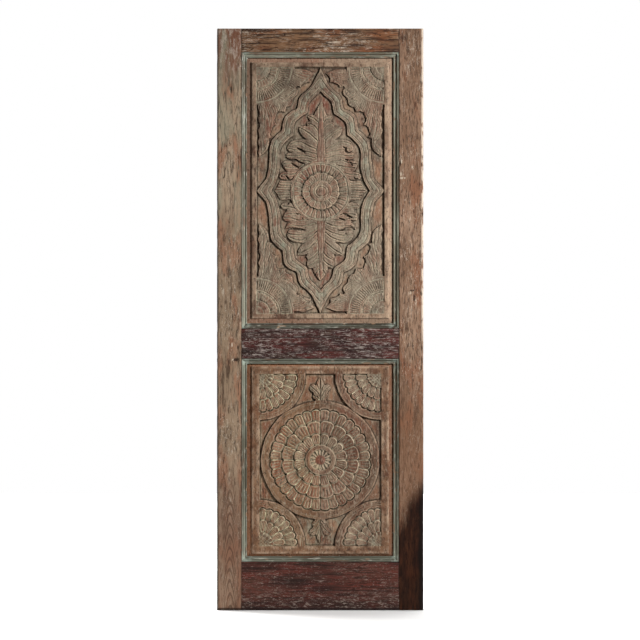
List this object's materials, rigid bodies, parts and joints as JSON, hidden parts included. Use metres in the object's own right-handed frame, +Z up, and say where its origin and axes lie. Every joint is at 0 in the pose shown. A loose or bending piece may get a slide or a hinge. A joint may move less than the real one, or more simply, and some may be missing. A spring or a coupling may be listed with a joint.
{
  "type": "carved door leaf",
  "caption": "Weathered wooden stile-and-rail door leaf with a tall carved upper panel, a shorter carved lower panel and painted mouldings round them.",
  "frame": {"origin": "middle of the bottom edge, at mid-thickness", "axes": "+Z up the leaf, +X to the right as seen from the carved face, carved face towards -Y"},
  "size_m": [0.76, 0.045, 2.14],
  "materials": {
    "stile_wood": "weathered grey-brown, reddish streaks and pale flecks",
    "rail_wood": "worn dark maroon stain with pale rubbed streaks",
    "panel_wood": "carved, worn red-brown with pale green limewash left in the recesses",
    "moulding_wood": "worn grey-green paint"
  },
  "bodies": {
    "root": {"left_stile": "stile_wood", "right_stile": "stile_wood", "top_rail": "rail_wood", "lock_rail": "rail_wood", "bottom_rail": "rail_wood", "upper_panel_left_board": "panel_wood", "upper_panel_right_board": "panel_wood", "lower_panel_left_board": "panel_wood", "lower_panel_right_board": "panel_wood", "upper_moulding_top": "moulding_wood", "upper_moulding_bottom": "moulding_wood", "upper_moulding_left": "moulding_wood", "upper_moulding_right": "moulding_wood", "lower_moulding_top": "moulding_wood", "lower_moulding_bottom": "moulding_wood", "lower_moulding_left": "moulding_wood", "lower_moulding_right": "moulding_wood", "tenon_wedges": "stile_wood"}
  },
  "joints": []
}
